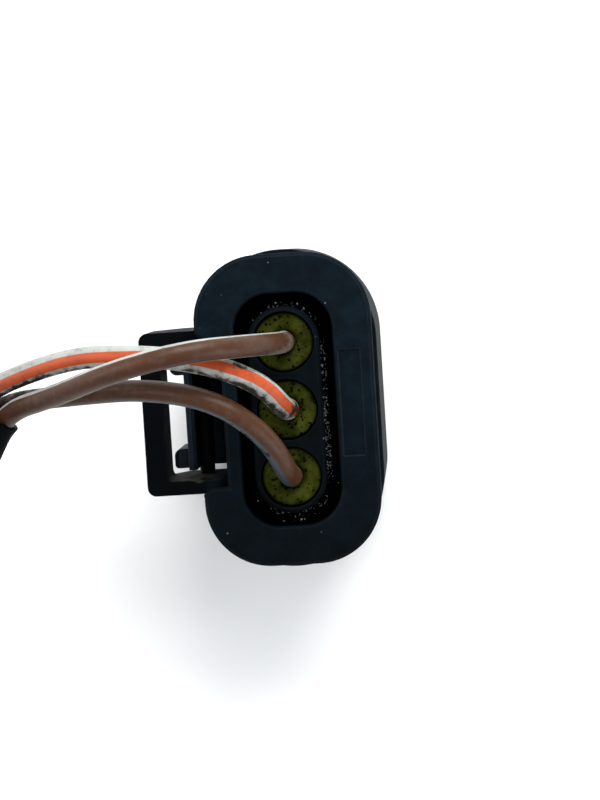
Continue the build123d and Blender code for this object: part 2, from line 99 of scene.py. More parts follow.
# Patches of dirt, and one broad patch of painted shade on the last wire near the sleeve: mm along, turn from
# the stripe, reach along in mm, reach round in turns, strength
GRIME_AND_SHADE = (
    ((9.5, 0.5, 1.5, 0.5, 0.35), (13.5, -0.42, 3.0, 0.07, 0.7), (30, 0.5, 20, 0.08, 0.3)),
    (
        (10.0, -0.4, 1.4, 0.16, 0.85),
        (9.2, 0.06, 1.3, 0.16, 0.8),
        (11.6, -0.14, 1.0, 0.08, 0.7),
        (12.2, -0.24, 1.6, 0.08, 0.9),
        (14.2, -0.2, 1.5, 0.07, 0.85),
        (16.4, -0.24, 1.6, 0.08, 0.85),
        (18.6, -0.2, 1.4, 0.06, 0.9),
        (21.0, -0.24, 1.8, 0.08, 0.85),
        (23.6, -0.19, 1.3, 0.05, 0.8),
        (19.4, 0.09, 0.9, 0.035, 1.0),
        (10.6, 0.02, 0.9, 0.09, 0.75),
        (16.5, 0.2, 4.0, 0.05, 0.55),
        (36, -0.17, 3.0, 0.05, 0.8),
        (42, -0.16, 3.0, 0.07, 0.95),
        (47, -0.14, 3.0, 0.07, 0.95),
    ),
    (
        (15.4, 0.0, 0.9, 0.07, 0.85),
        (17.2, -0.03, 0.9, 0.06, 0.9),
        (19.0, 0.01, 0.7, 0.05, 0.85),
        (21.5, -0.02, 1.2, 0.06, 0.7),
        (27, -0.02, 5, 0.06, 0.7),
        # Painted shade where this wire runs under the others near the sleeve
        (46, 0.3, 10, 0.3, 0.72),
    ),
)
DUST = (
    ((10.0, 0.0, 2.2, 2.0, 0.8), (13.5, -0.42, 3.6, 0.14, 0.95)),
    ((10.0, -0.42, 1.5, 0.18, 0.8), (10.0, 0.25, 1.2, 0.1, 0.6), (12.5, -0.22, 1.8, 0.08, 0.6)),
    ((9.6, 0.45, 1.4, 0.25, 0.75), (12.5, 0.42, 3.0, 0.05, 0.75)),
)

# Camera, in millimetres: where it stands, the point at the middle of the picture, and which way is right
CAMERA_PLACE = (14.3, 16.0, 287.0)
CAMERA_TARGET = (1.33, 0.90, 27.0)
CAMERA_RIGHT = (0.998, -0.0593, 0.0)


def linear(code):
    """A colour as sRGB hex, such as #1a2228, turned to linear RGBA."""
    parts = [int(code[i : i + 2], 16) / 255 for i in (1, 3, 5)]
    return tuple(c / 12.92 if c <= 0.04045 else ((c + 0.055) / 1.055) ** 2.4 for c in parts) + (1.0,)


def add(tree, kind, links=None, values=None, **settings):
    """Adds a node, with its settings, the values of its sockets and the sockets that feed it."""
    node = tree.nodes.new(kind)
    for name, value in settings.items():
        setattr(node, name, value)
    for name, value in (values or {}).items():
        node.inputs[name].default_value = value
    for name, source in (links or {}).items():
        tree.links.new(source, node.inputs[name])
    return node


def new_material(name):
    """An empty material with its shader, and the tree that feeds it."""
    material = bpy.data.materials.new(name)
    material.use_nodes = True
    tree = material.node_tree
    tree.nodes.clear()
    shader = add(tree, "ShaderNodeBsdfPrincipled")
    add(tree, "ShaderNodeOutputMaterial", {"Surface": shader.outputs[0]})
    return material, tree, shader


def finish_with(piece, material):
    """Puts the material on every slot of the piece."""
    if not piece.data.materials:
        piece.data.materials.append(material)
    for slot in piece.material_slots:
        slot.material = material


def unit(rows):
    """Each row divided by its length."""
    return rows / np.linalg.norm(rows, axis=-1, keepdims=True)


def beside(route, left, rise):
    """A route's points moved sideways: left is level and square to the heading, rise is square to both."""
    points = np.array(route, float)
    runs = unit(np.diff(points, axis=0))
    heading = unit(np.vstack([runs[:1], runs]) + np.vstack([runs, runs[-1:]]))
    across = unit(np.stack([-heading[:, 1], heading[:, 0], np.zeros(len(points))], axis=1))
    return points + left * across + rise * np.cross(heading, across)


def smooth_line(route, step):
    """Points one step apart along the NURBS spline of order 3 whose control points are the route's."""
    curve = bpy.data.curves.new("route", "CURVE")
    curve.dimensions = "3D"
    spline = curve.splines.new("NURBS")
    spline.points.add(len(route) - 1)
    weighted = np.column_stack([np.array(route) * MM, np.ones(len(route))])
    spline.points.foreach_set("co", weighted.ravel())
    spline.order_u = 3
    spline.use_endpoint_u = True
    spline.resolution_u = 32
    holder = bpy.data.objects.new("route", curve)
    bpy.context.scene.collection.objects.link(holder)
    mesh = bpy.data.meshes.new_from_object(holder)
    points = np.empty(3 * len(mesh.vertices))
    mesh.vertices.foreach_get("co", points)
    points = points.reshape(-1, 3)
    bpy.data.objects.remove(holder)
    bpy.data.curves.remove(curve)
    bpy.data.meshes.remove(mesh)
    run = np.concatenate([[0], np.cumsum(np.linalg.norm(np.diff(points, axis=0), axis=1))])
    places = np.linspace(0, run[-1], int(np.ceil(run[-1] / step)) + 1)
    return np.column_stack([np.interp(places, run, points[:, k]) for k in range(3)]), places


def carried_frames(line, side):
    """Two directions square to a line at each point, turned along it as little as its bends allow."""
    heading = unit(np.gradient(line, axis=0))
    first = np.empty_like(line)
    current = np.array(side, float)
    for k, ahead in enumerate(heading):
        current = current - ahead * (current @ ahead)
        current /= np.linalg.norm(current)
        first[k] = current
    return first, np.cross(heading, first)


def make_piece(name, points, faces, uv=None):
    """A smooth-shaded mesh object from points and faces, with a UV pair for each corner if any are given."""
    mesh = bpy.data.meshes.new(name)
    mesh.from_pydata(points, [], faces)
    if uv is not None:
        mesh.uv_layers.new(name="around_and_along").data.foreach_set("uv", uv.ravel())
    mesh.shade_smooth()
    mesh.update()
    piece = bpy.data.objects.new(name, mesh)
    bpy.context.scene.collection.objects.link(piece)
    return piece


def joined_rings(rings, closed):
    """Corner numbers of the quads that join closed rings of points; closed also joins last ring to first."""
    count, around = rings.shape[:2]
    i = np.arange(count if closed else count - 1)[:, None]
    j = np.arange(around)[None, :]
    ahead = (i + 1) % count
    beyond = (j + 1) % around
    return np.stack([i * around + j, i * around + beyond, ahead * around + beyond, ahead * around + j], -1)


def soft_patches(around, along, patches):
    """Sum of bell curves, each with its place in mm, turn from the stripe, two reaches and strength."""
    total = np.zeros(np.broadcast(around, along).shape)
    for place, turn, reach_along, reach_around, strength in patches:
        off_turn = (around - turn + 0.5) % 1.0 - 0.5
        off_place = along / MM - place
        total += strength * np.exp(-((off_turn / reach_around) ** 2) - (off_place / reach_along) ** 2)
    return np.clip(total, 0.0, 1.0)


def tube(name, line, places, radius, sides, stripe_turns, dirt):
    """A capped tube: ring k is radius times (cos t, sin t) in a frame carried along the line from +X.
    Its UV is (share of a turn from the stripe, metres along), and the stripe turns with its key places.
    Each sort of dirt is an attribute: soft patches over that same pair; one patch of the first sort is a
    painted shade."""
    first, second = carried_frames(line, (1.0, 0.0, 0.0))
    turn = np.arange(sides) / sides
    angle = TURN * turn[None, :, None]
    rings = line[:, None] + radius * (np.cos(angle) * first[:, None] + np.sin(angle) * second[:, None])
    quads = joined_rings(rings, False)
    faces = quads.reshape(-1, 4).tolist()
    last = (len(line) - 1) * sides
    faces += [list(range(sides))[::-1], list(range(last, last + sides))]
    keys = np.array(stripe_turns)
    across = turn[None, :] - np.interp(places / MM, keys[:, 0], keys[:, 1])[:, None]
    along = np.broadcast_to(places[:, None], across.shape)
    step = 1 / sides
    corners = np.stack(
        [
            np.stack([across[:-1], along[:-1]], -1),
            np.stack([across[:-1] + step, along[:-1]], -1),
            np.stack([across[1:] + step, along[1:]], -1),
            np.stack([across[1:], along[1:]], -1),
        ],
        axis=2,
    ).reshape(-1, 2)
    ends = np.vstack([np.stack([across[0], along[0]], -1)[::-1], np.stack([across[-1], along[-1]], -1)])
    piece = make_piece(name, rings.reshape(-1, 3), faces, np.vstack([corners, ends]))
    for sort, patches in dirt.items():
        amount = soft_patches(across, along, patches)
        piece.data.attributes.new(sort, "FLOAT", "POINT").data.foreach_set("value", amount.ravel())
    return piece


def grain_bump(tree, coordinates, grain, height):
    """A bump of moulded or eroded grain: noise whose features are one grain wide."""
    noise = add(
        tree,
        "ShaderNodeTexNoise",
        {"Vector": coordinates},
        {"Scale": 1 / grain, "Detail": 3.0, "Roughness": 0.6},
    )
    values = {"Strength": 1.0, "Distance": height}
    return add(tree, "ShaderNodeBump", {"Height": noise.outputs["Fac"]}, values)


def black_nylon():
    """Glass-filled nylon, moulded in a spark-eroded tool: blue black, almost matte, fine grain.
    Its colour carries painted light and shade: the flange's face is painted lit, darker towards its lower end
    and on the seal island, and the faces below the flange are painted in deep shade, less so on the outside of
    the skirt and a little less on the guard.
    Edges are lighter, partly scuffed and partly a painted highlight; grey specks lie about, and road dust
    clings inside the lower guard wall."""
    material, tree, shader = new_material("moulded_black_glass_filled_nylon")
    colours = bpy.context.scene.connector_colours
    place = add(tree, "ShaderNodeTexCoord").outputs["Object"]
    x, y, z = add(tree, "ShaderNodeSeparateXYZ", {"Vector": place}).outputs
    cloud = add(
        tree,
        "ShaderNodeTexNoise",
        {"Vector": place},
        {"Scale": 1 / (3 * MM), "Detail": 9.0, "Roughness": 0.78},
    )
    mottle = add(
        tree, "ShaderNodeMapRange", {"Value": cloud.outputs["Fac"]}, {"From Min": 0.36, "From Max": 0.66}
    )
    tone = add(
        tree,
        "ShaderNodeMix",
        {"Factor": mottle.outputs[0]},
        {"A": linear("#050b10"), "B": (*colours.nylon, 1.0)},
        data_type="RGBA",
    )
    grain = grain_bump(tree, place, 0.16 * MM, 0.012 * MM)
    rounded = add(tree, "ShaderNodeBevel", {"Normal": grain.outputs[0]}, {"Radius": 0.12 * MM}, samples=6)
    sharp = add(tree, "ShaderNodeNewGeometry").outputs["Normal"]
    smooth = add(tree, "ShaderNodeBevel", None, {"Radius": 0.22 * MM}, samples=6)
    agree = add(tree, "ShaderNodeVectorMath", {0: smooth.outputs[0], 1: sharp}, operation="DOT_PRODUCT")
    edge = add(
        tree,
        "ShaderNodeMapRange",
        {"Value": agree.outputs["Value"]},
        {"From Min": 0.995, "From Max": 0.8, "To Min": 0.0, "To Max": 0.6},
    )
    patchy = add(
        tree,
        "ShaderNodeTexNoise",
        {"Vector": place},
        {"Scale": 1 / (0.9 * MM), "Detail": 3.0, "Roughness": 0.6},
    )
    # Lighter edges: partly scuffing, partly a painted highlight on the rounded edges
    rubbed_and_highlit = add(tree, "ShaderNodeMath", {0: edge.outputs[0], 1: patchy.outputs["Fac"]}, operation="MULTIPLY")
    worn_and_highlit = add(
        tree,
        "ShaderNodeMix",
        {"Factor": rubbed_and_highlit.outputs[0], "A": tone.outputs["Result"]},
        {"B": linear("#3a434c")},
        data_type="RGBA",
    )
    # Painted light and shade on the flange: its height, times its distance from the row of cavities, times Y;
    # below the flange it is painted shade, and the lower end is painted darker
    raised = add(tree, "ShaderNodeMapRange", {"Value": z}, {"From Min": 26.1 * MM, "From Max": 26.7 * MM})
    row = add(tree, "ShaderNodeMath", {0: y}, operation="ABSOLUTE")
    past = add(tree, "ShaderNodeMath", {0: row.outputs[0]}, {1: CAVITY_PITCH * MM}, operation="SUBTRACT")
    beyond = add(tree, "ShaderNodeMath", {0: past.outputs[0]}, {1: 0.0}, operation="MAXIMUM")
    outward = add(tree, "ShaderNodeCombineXYZ", {"X": x, "Y": beyond.outputs[0]})
    reach = add(tree, "ShaderNodeVectorMath", {0: outward.outputs[0]}, operation="LENGTH")
    off_island = add(
        tree,
        "ShaderNodeMapRange",
        {"Value": reach.outputs["Value"]},
        {"From Min": 3.9 * MM, "From Max": 4.6 * MM, "To Min": 0.36, "To Max": 1.0},
    )
    # Painted light: lighter towards +Y, the side of the key light, and darker towards the lower end
    upper = add(
        tree,
        "ShaderNodeMapRange",
        {"Value": y},
        {"From Min": -15 * MM, "From Max": 3 * MM, "To Min": 0.34, "To Max": 1.0},
    )
    share = add(
        tree, "ShaderNodeMath", {0: raised.outputs[0], 1: off_island.outputs[0]}, operation="MULTIPLY"
    )
    face = add(tree, "ShaderNodeMath", {0: share.outputs[0], 1: upper.outputs[0]}, operation="MULTIPLY")
    # The outside of the skirt is kept out of the painted shade too, and the guard hardly
    outer = add(
        tree,
        "ShaderNodeMapRange",
        {"Value": reach.outputs["Value"]},
        {"From Min": 7.2 * MM, "From Max": 7.8 * MM, "To Min": 0.0, "To Max": 0.85},
    )
    off_guard = add(
        tree,
        "ShaderNodeMapRange",
        {"Value": x},
        {"From Min": -9.2 * MM, "From Max": -8.4 * MM, "To Min": 0.15, "To Max": 1.0},
    )
    skirt = add(
        tree, "ShaderNodeMath", {0: outer.outputs[0], 1: off_guard.outputs[0]}, operation="MULTIPLY"
    )
    below = add(tree, "ShaderNodeMapRange", {"Value": z}, {"From Min": 26.0 * MM, "From Max": 24.6 * MM})
    side = add(tree, "ShaderNodeMath", {0: skirt.outputs[0], 1: below.outputs[0]}, operation="MULTIPLY")
    painted_light_share = add(tree, "ShaderNodeMath", {0: face.outputs[0], 1: side.outputs[0]}, operation="MAXIMUM")
    # Painted light and shade: the colour is scaled from 0.07 in painted shade up to 0.9 on the lit face
    lift = add(tree, "ShaderNodeMapRange", {"Value": painted_light_share.outputs[0]}, {"To Min": 0.07, "To Max": 0.9})
    painted_light_tone = add(
        tree,
        "ShaderNodeVectorMath",
        {0: worn_and_highlit.outputs["Result"], "Scale": lift.outputs[0]},
        operation="SCALE",
    )
    # Grey specks: in some of the cells 1.5 mm wide, a spot a tenth as wide
    specks = add(
        tree, "ShaderNodeTexVoronoi", {"Vector": place}, {"Scale": 1 / (1.5 * MM), "Randomness": 1.0}
    )
    near = add(
        tree,
        "ShaderNodeMapRange",
        {"Value": specks.outputs["Distance"]},
        {"From Min": 0.075, "From Max": 0.045},
    )
    chosen = add(
        tree,
        "ShaderNodeMapRange",
        {"Value": specks.outputs["Color"]},
        {"From Min": 0.62, "From Max": 0.7},
    )
    dusty = add(tree, "ShaderNodeMath", {0: near.outputs[0], 1: chosen.outputs[0]}, operation="MULTIPLY")
    specked = add(
        tree,
        "ShaderNodeMix",
        {"Factor": dusty.outputs[0], "A": painted_light_tone.outputs[0]},
        {"B": linear("#4c5054")},
        data_type="RGBA",
    )
    # Road dust in an ellipsoid about the inside of the lower guard wall, divided by its reach along each axis
    dust_centre = (-11.0 * MM, -7.0 * MM, 19.0 * MM)
    per_reach = (250.0, 1500.0, 190.0)
    off = add(tree, "ShaderNodeVectorMath", {0: place}, {1: dust_centre}, operation="SUBTRACT")
    scaled = add(tree, "ShaderNodeVectorMath", {0: off.outputs[0]}, {1: per_reach}, operation="MULTIPLY")
    depth = add(tree, "ShaderNodeVectorMath", {0: scaled.outputs[0]}, operation="LENGTH")
    clinging = add(
        tree,
        "ShaderNodeMath",
        {0: patchy.outputs["Fac"], 2: depth.outputs["Value"]},
        {1: -1.7},
        operation="MULTIPLY_ADD",
    )
    dusted = add(
        tree,
        "ShaderNodeMapRange",
        {"Value": clinging.outputs[0]},
        {"From Min": -0.05, "From Max": -0.55, "To Min": 0.0, "To Max": 0.8},
    )
    colour = add(
        tree,
        "ShaderNodeMix",
        {"Factor": dusted.outputs[0], "A": specked.outputs["Result"]},
        {"B": linear("#4d4a41")},
        data_type="RGBA",
    )
    tree.links.new(colour.outputs["Result"], shader.inputs["Base Color"])
    tree.links.new(rounded.outputs[0], shader.inputs["Normal"])
    shader.inputs["Roughness"].default_value = 0.6
    shader.inputs["Specular IOR Level"].default_value = 0.035
    return material


def black_acetal():
    """Acetal, moulded: near black, smoother than the housing.
    The thumb rails are dark grey blue with lighter edges, partly scuffed and partly a painted highlight, and
    the lower hub in the guard is painted black as shade."""
    material, tree, shader = new_material("moulded_black_acetal")
    place = add(tree, "ShaderNodeTexCoord").outputs["Object"]
    z = add(tree, "ShaderNodeSeparateXYZ", {"Vector": place}).outputs["Z"]
    cloud = add(
        tree,
        "ShaderNodeTexNoise",
        {"Vector": place},
        {"Scale": 1 / (2 * MM), "Detail": 8.0, "Roughness": 0.75},
    )
    tone = add(
        tree,
        "ShaderNodeMix",
        {"Factor": cloud.outputs["Fac"]},
        {"A": linear("#060a0e"), "B": linear("#19212a")},
        data_type="RGBA",
    )
    sharp = add(tree, "ShaderNodeNewGeometry").outputs["Normal"]
    smooth = add(tree, "ShaderNodeBevel", None, {"Radius": 0.2 * MM}, samples=6)
    agree = add(tree, "ShaderNodeVectorMath", {0: smooth.outputs[0], 1: sharp}, operation="DOT_PRODUCT")
    # Lighter edges: partly scuffing, partly a painted highlight
    edge = add(
        tree,
        "ShaderNodeMapRange",
        {"Value": agree.outputs["Value"]},
        {"From Min": 0.995, "From Max": 0.8, "To Min": 0.0, "To Max": 0.5},
    )
    worn_and_highlit = add(
        tree,
        "ShaderNodeMix",
        {"Factor": edge.outputs[0], "A": tone.outputs["Result"]},
        {"B": linear("#3c454e")},
        data_type="RGBA",
    )
    # Painted shade: the lever is darker below 21 mm, down to 0.15 below 16 mm, where its hub sits deep in the
    # guard
    raised = add(
        tree,
        "ShaderNodeMapRange",
        {"Value": z},
        {"From Min": 16 * MM, "From Max": 21 * MM, "To Min": 0.15, "To Max": 1.0},
    )
    colour = add(
        tree,
        "ShaderNodeVectorMath",
        {0: worn_and_highlit.outputs["Result"], "Scale": raised.outputs[0]},
        operation="SCALE",
    )
    grain = grain_bump(tree, place, 0.2 * MM, 0.006 * MM)
    rounded = add(tree, "ShaderNodeBevel", {"Normal": grain.outputs[0]}, {"Radius": 0.1 * MM}, samples=6)
    tree.links.new(colour.outputs[0], shader.inputs["Base Color"])
    tree.links.new(rounded.outputs[0], shader.inputs["Normal"])
    shader.inputs["Roughness"].default_value = 0.5
    shader.inputs["Specular IOR Level"].default_value = 0.06
    return material


def grey_polyamide():
    """Polyamide, moulded: light grey, satin, with faint flow clouds."""
    material, tree, shader = new_material("moulded_grey_polyamide")
    place = add(tree, "ShaderNodeTexCoord").outputs["Object"]
    cloud = add(tree, "ShaderNodeTexNoise", {"Vector": place}, {"Scale": 1 / (2.5 * MM), "Detail": 3.0})
    tone = add(
        tree,
        "ShaderNodeMix",
        {"Factor": cloud.outputs["Fac"]},
        {"A": linear("#9b9c98"), "B": linear("#adaeaa")},
        data_type="RGBA",
    )
    grain = grain_bump(tree, place, 0.18 * MM, 0.006 * MM)
    rounded = add(tree, "ShaderNodeBevel", {"Normal": grain.outputs[0]}, {"Radius": 0.1 * MM}, samples=6)
    tree.links.new(tone.outputs["Result"], shader.inputs["Base Color"])
    tree.links.new(rounded.outputs[0], shader.inputs["Normal"])
    shader.inputs["Roughness"].default_value = 0.48
    return material


def olive_silicone():
    """Silicone rubber, moulded: olive, matte, in two clouded tones, with dark grains of dirt stuck in it."""
    material, tree, shader = new_material("moulded_olive_silicone")
    colours = bpy.context.scene.connector_colours
    place = add(tree, "ShaderNodeTexCoord").outputs["Object"]
    cloud = add(
        tree,
        "ShaderNodeTexNoise",
        {"Vector": place},
        {"Scale": 1 / (1.6 * MM), "Detail": 5.0, "Roughness": 0.65},
    )
    shade = add(
        tree,
        "ShaderNodeMapRange",
        {"Value": cloud.outputs["Fac"]},
        {"From Min": 0.35, "From Max": 0.65},
    )
    tone = add(
        tree,
        "ShaderNodeMix",
        {"Factor": shade.outputs[0]},
        {"A": linear("#181d02"), "B": (*colours.silicone, 1.0)},
        data_type="RGBA",
    )
    # Cells 0.34 mm wide, made ragged by noise: a grain lies in each whose random value the cloud lets through
    ragged = add(tree, "ShaderNodeTexNoise", {"Vector": place}, {"Scale": 1 / (0.22 * MM), "Detail": 2.0})
    shifted = add(
        tree,
        "ShaderNodeVectorMath",
        {0: ragged.outputs["Color"], 2: place},
        {1: (0.26 * MM,) * 3},
        operation="MULTIPLY_ADD",
    )
    cells = add(
        tree,
        "ShaderNodeTexVoronoi",
        {"Vector": shifted.outputs[0]},
        {"Scale": 1 / (0.34 * MM), "Randomness": 1.0},
    )
    crowd = add(
        tree,
        "ShaderNodeMath",
        {0: cloud.outputs["Fac"], 2: cells.outputs["Color"]},
        {1: -0.9},
        operation="MULTIPLY_ADD",
    )
    width = add(
        tree,
        "ShaderNodeMapRange",
        {"Value": crowd.outputs[0]},
        {"From Min": 0.06, "From Max": 0.42, "To Min": 0.0, "To Max": 0.66},
    )
    inside = add(
        tree, "ShaderNodeMath", {0: width.outputs[0], 1: cells.outputs["Distance"]}, operation="SUBTRACT"
    )
    speck = add(
        tree,
        "ShaderNodeMapRange",
        {"Value": inside.outputs[0]},
        {"From Min": 0.0, "From Max": 0.08, "To Min": 0.0, "To Max": 1.0},
    )
    colour = add(
        tree,
        "ShaderNodeMix",
        {"Factor": speck.outputs[0], "A": tone.outputs["Result"]},
        {"B": linear("#050602")},
        data_type="RGBA",
    )
    skin = grain_bump(tree, place, 0.3 * MM, 0.02 * MM)
    tree.links.new(colour.outputs["Result"], shader.inputs["Base Color"])
    tree.links.new(skin.outputs[0], shader.inputs["Normal"])
    shader.inputs["Roughness"].default_value = 0.75
    shader.inputs["Specular IOR Level"].default_value = 0.03
    return material


def insulation(name, body, stripe, stripe_width, stripes):
    """Wire insulation, extruded: satin body with one coloured stripe, or two on opposite sides.
    It is painted darker towards the sleeve, a painted falloff of light. Brown to black dirt mottles it where
    the attribute of dirt and painted shade is high, and on the last wire near the sleeve that attribute is a
    broad painted shade. Grey brown powder clings where the dust attribute is."""
    material, tree, shader = new_material(name)
    place = add(tree, "ShaderNodeTexCoord").outputs["Object"]
    uv = add(tree, "ShaderNodeUVMap", uv_map="around_and_along")
    around, along = add(tree, "ShaderNodeSeparateXYZ", {"Vector": uv.outputs[0]}).outputs[:2]
    moved = add(tree, "ShaderNodeMath", {0: around}, {1: 0.5 / stripes}, operation="ADD")
    share = add(tree, "ShaderNodeMath", {0: moved.outputs[0]}, {1: 1 / stripes}, operation="FLOORED_MODULO")
    aside = add(tree, "ShaderNodeMath", {0: share.outputs[0]}, {1: 0.5 / stripes}, operation="SUBTRACT")
    from_stripe = add(tree, "ShaderNodeMath", {0: aside.outputs[0]}, operation="ABSOLUTE")
    wobble = add(tree, "ShaderNodeTexNoise", {"Vector": place}, {"Scale": 1 / (1.2 * MM), "Detail": 4.0})
    edge = add(
        tree,
        "ShaderNodeMath",
        {0: wobble.outputs["Fac"], 2: from_stripe.outputs[0]},
        {1: 0.016},
        operation="MULTIPLY_ADD",
    )
    striped = add(
        tree,
        "ShaderNodeMapRange",
        {"Value": edge.outputs[0]},
        {"From Min": stripe_width / 2 + 0.013, "From Max": stripe_width / 2 + 0.003},
    )
    clean = add(
        tree,
        "ShaderNodeMix",
        {"Factor": striped.outputs[0]},
        {"A": linear(body), "B": linear(stripe)},
        data_type="RGBA",
    )
    cloud = add(tree, "ShaderNodeTexNoise", {"Vector": place}, {"Scale": 1 / (4 * MM), "Detail": 5.0})
    paler = add(
        tree,
        "ShaderNodeMapRange",
        {"Value": cloud.outputs["Fac"]},
        {"From Min": 0.3, "From Max": 0.7, "To Min": 0.86, "To Max": 1.08},
    )
    # Painted falloff of light: the wire is painted darker from 26 mm to 48 mm along, towards the sleeve
    darker = add(
        tree,
        "ShaderNodeMapRange",
        {"Value": along},
        {"From Min": 26 * MM, "From Max": 48 * MM, "To Min": 1.0, "To Max": 0.66},
    )
    level = add(tree, "ShaderNodeMath", {0: paler.outputs[0], 1: darker.outputs[0]}, operation="MULTIPLY")
    varied = add(
        tree,
        "ShaderNodeVectorMath",
        {0: clean.outputs["Result"], "Scale": level.outputs[0]},
        operation="SCALE",
    )
    # Dirt, and on the last wire near the sleeve a painted shade, read from the attribute of dirt and painted
    # shade and mottled by noise
    grime_and_shade = add(tree, "ShaderNodeAttribute", attribute_name="grime_and_shade").outputs["Fac"]
    mottle = add(
        tree,
        "ShaderNodeTexNoise",
        {"Vector": place},
        {"Scale": 1 / (0.8 * MM), "Detail": 6.0, "Roughness": 0.6},
    )
    laid = add(
        tree, "ShaderNodeMath", {0: grime_and_shade, 2: mottle.outputs["Fac"]}, {1: 0.4}, operation="MULTIPLY_ADD"
    )
    hazy = add(
        tree,
        "ShaderNodeMapRange",
        {"Value": laid.outputs[0]},
        {"From Min": 0.5, "From Max": 0.74, "To Min": 0.0, "To Max": 0.65},
    )
    hazed = add(
        tree,
        "ShaderNodeMix",
        {"Factor": hazy.outputs[0], "A": varied.outputs[0]},
        {"B": linear("#4a3d34")},
        data_type="RGBA",
    )
    dirt_and_shade_share = add(
        tree,
        "ShaderNodeMapRange",
        {"Value": laid.outputs[0]},
        {"From Min": 0.66, "From Max": 0.82, "To Min": 0.0, "To Max": 0.93},
    )
    dirt_and_shade_tone = add(
        tree,
        "ShaderNodeMix",
        {"Factor": dirt_and_shade_share.outputs[0], "A": hazed.outputs["Result"]},
        {"B": linear("#0e0b0a")},
        data_type="RGBA",
    )
    dust = add(tree, "ShaderNodeAttribute", attribute_name="dust").outputs["Fac"]
    powder = add(
        tree,
        "ShaderNodeTexNoise",
        {"Vector": place},
        {"Scale": 1 / (0.2 * MM), "Detail": 3.0, "Roughness": 0.7},
    )
    clung = add(
        tree, "ShaderNodeMath", {0: dust, 2: powder.outputs["Fac"]}, {1: 0.34}, operation="MULTIPLY_ADD"
    )
    powdered = add(
        tree,
        "ShaderNodeMapRange",
        {"Value": clung.outputs[0]},
        {"From Min": 0.68, "From Max": 0.86, "To Min": 0.0, "To Max": 0.75},
    )
    colour = add(
        tree,
        "ShaderNodeMix",
        {"Factor": powdered.outputs[0], "A": dirt_and_shade_tone.outputs["Result"]},
        {"B": linear("#7d736b")},
        data_type="RGBA",
    )
    rough = add(tree, "ShaderNodeMapRange", {"Value": dirt_and_shade_share.outputs[0]}, {"To Min": 0.4, "To Max": 0.8})
    skin = grain_bump(tree, place, 0.35 * MM, 0.008 * MM)
    tree.links.new(colour.outputs["Result"], shader.inputs["Base Color"])
    tree.links.new(rough.outputs[0], shader.inputs["Roughness"])
    tree.links.new(skin.outputs[0], shader.inputs["Normal"])
    shader.inputs["Specular IOR Level"].default_value = 0.2
    return material


def soft_vinyl():
    """Soft vinyl tube, extruded: black with hardly any gloss, in faint clouds of scuffing."""
    material, tree, shader = new_material("extruded_black_soft_vinyl")
    place = add(tree, "ShaderNodeTexCoord").outputs["Object"]
    scuff = add(
        tree,
        "ShaderNodeTexNoise",
        {"Vector": place},
        {"Scale": 1 / (1.5 * MM), "Detail": 6.0, "Roughness": 0.7},
    )
    tone = add(
        tree,
        "ShaderNodeMix",
        {"Factor": scuff.outputs["Fac"]},
        {"A": linear("#010304"), "B": linear("#05080a")},
        data_type="RGBA",
    )
    rough = add(
        tree,
        "ShaderNodeMapRange",
        {"Value": scuff.outputs["Fac"]},
        {"From Min": 0.3, "From Max": 0.7, "To Min": 0.5, "To Max": 0.66},
    )
    skin = grain_bump(tree, place, 0.5 * MM, 0.02 * MM)
    tree.links.new(tone.outputs["Result"], shader.inputs["Base Color"])
    tree.links.new(rough.outputs[0], shader.inputs["Roughness"])
    tree.links.new(skin.outputs[0], shader.inputs["Normal"])
    shader.inputs["Specular IOR Level"].default_value = 0.015
    return material


def metal(name, dark, light, roughness, brush):
    """A rolled or drawn metal: two close tones in short brushed streaks, and a roughness that follows."""
    material, tree, shader = new_material(name)
    place = add(tree, "ShaderNodeTexCoord").outputs["Object"]
    stretched = add(
        tree, "ShaderNodeMapping", {"Vector": place}, {"Scale": (1 / brush, 1 / brush, 0.12 / brush)}
    )
    streaks = add(tree, "ShaderNodeTexNoise", {"Vector": stretched.outputs[0]}, {"Scale": 1.0, "Detail": 4.0})
    tone = add(
        tree,
        "ShaderNodeMix",
        {"Factor": streaks.outputs["Fac"]},
        {"A": linear(dark), "B": linear(light)},
        data_type="RGBA",
    )
    rough = add(
        tree,
        "ShaderNodeMapRange",
        {"Value": streaks.outputs["Fac"]},
        {"To Min": roughness - 0.08, "To Max": roughness + 0.08},
    )
    tree.links.new(tone.outputs["Result"], shader.inputs["Base Color"])
    tree.links.new(rough.outputs[0], shader.inputs["Roughness"])
    shader.inputs["Metallic"].default_value = 1.0
    return material


def grey_grit():
    """Road dust and fine grit: dark to middling grey, quite matte."""
    material, tree, shader = new_material("loose_grey_grit")
    place = add(tree, "ShaderNodeTexCoord").outputs["Object"]
    mixed = add(tree, "ShaderNodeTexNoise", {"Vector": place}, {"Scale": 1 / (0.5 * MM), "Detail": 2.0})
    tone = add(
        tree,
        "ShaderNodeMix",
        {"Factor": mixed.outputs["Fac"]},
        {"A": linear("#1c1e20"), "B": linear("#5f6060")},
        data_type="RGBA",
    )
    tree.links.new(tone.outputs["Result"], shader.inputs["Base Color"])
    shader.inputs["Roughness"].default_value = 0.9
    return material


def studio_floor():
    """Painted board: plain, pale and matte."""
    material, tree, shader = new_material("pale_painted_board")
    place = add(tree, "ShaderNodeTexCoord").outputs["Object"]
    fine = add(tree, "ShaderNodeTexNoise", {"Vector": place}, {"Scale": 1 / (8 * MM), "Detail": 3.0})
    tone = add(
        tree,
        "ShaderNodeMix",
        {"Factor": fine.outputs["Fac"]},
        {"A": linear("#f4f4f3"), "B": linear("#f7f7f6")},
        data_type="RGBA",
    )
    tree.links.new(tone.outputs["Result"], shader.inputs["Base Color"])
    shader.inputs["Roughness"].default_value = 0.8
    return material


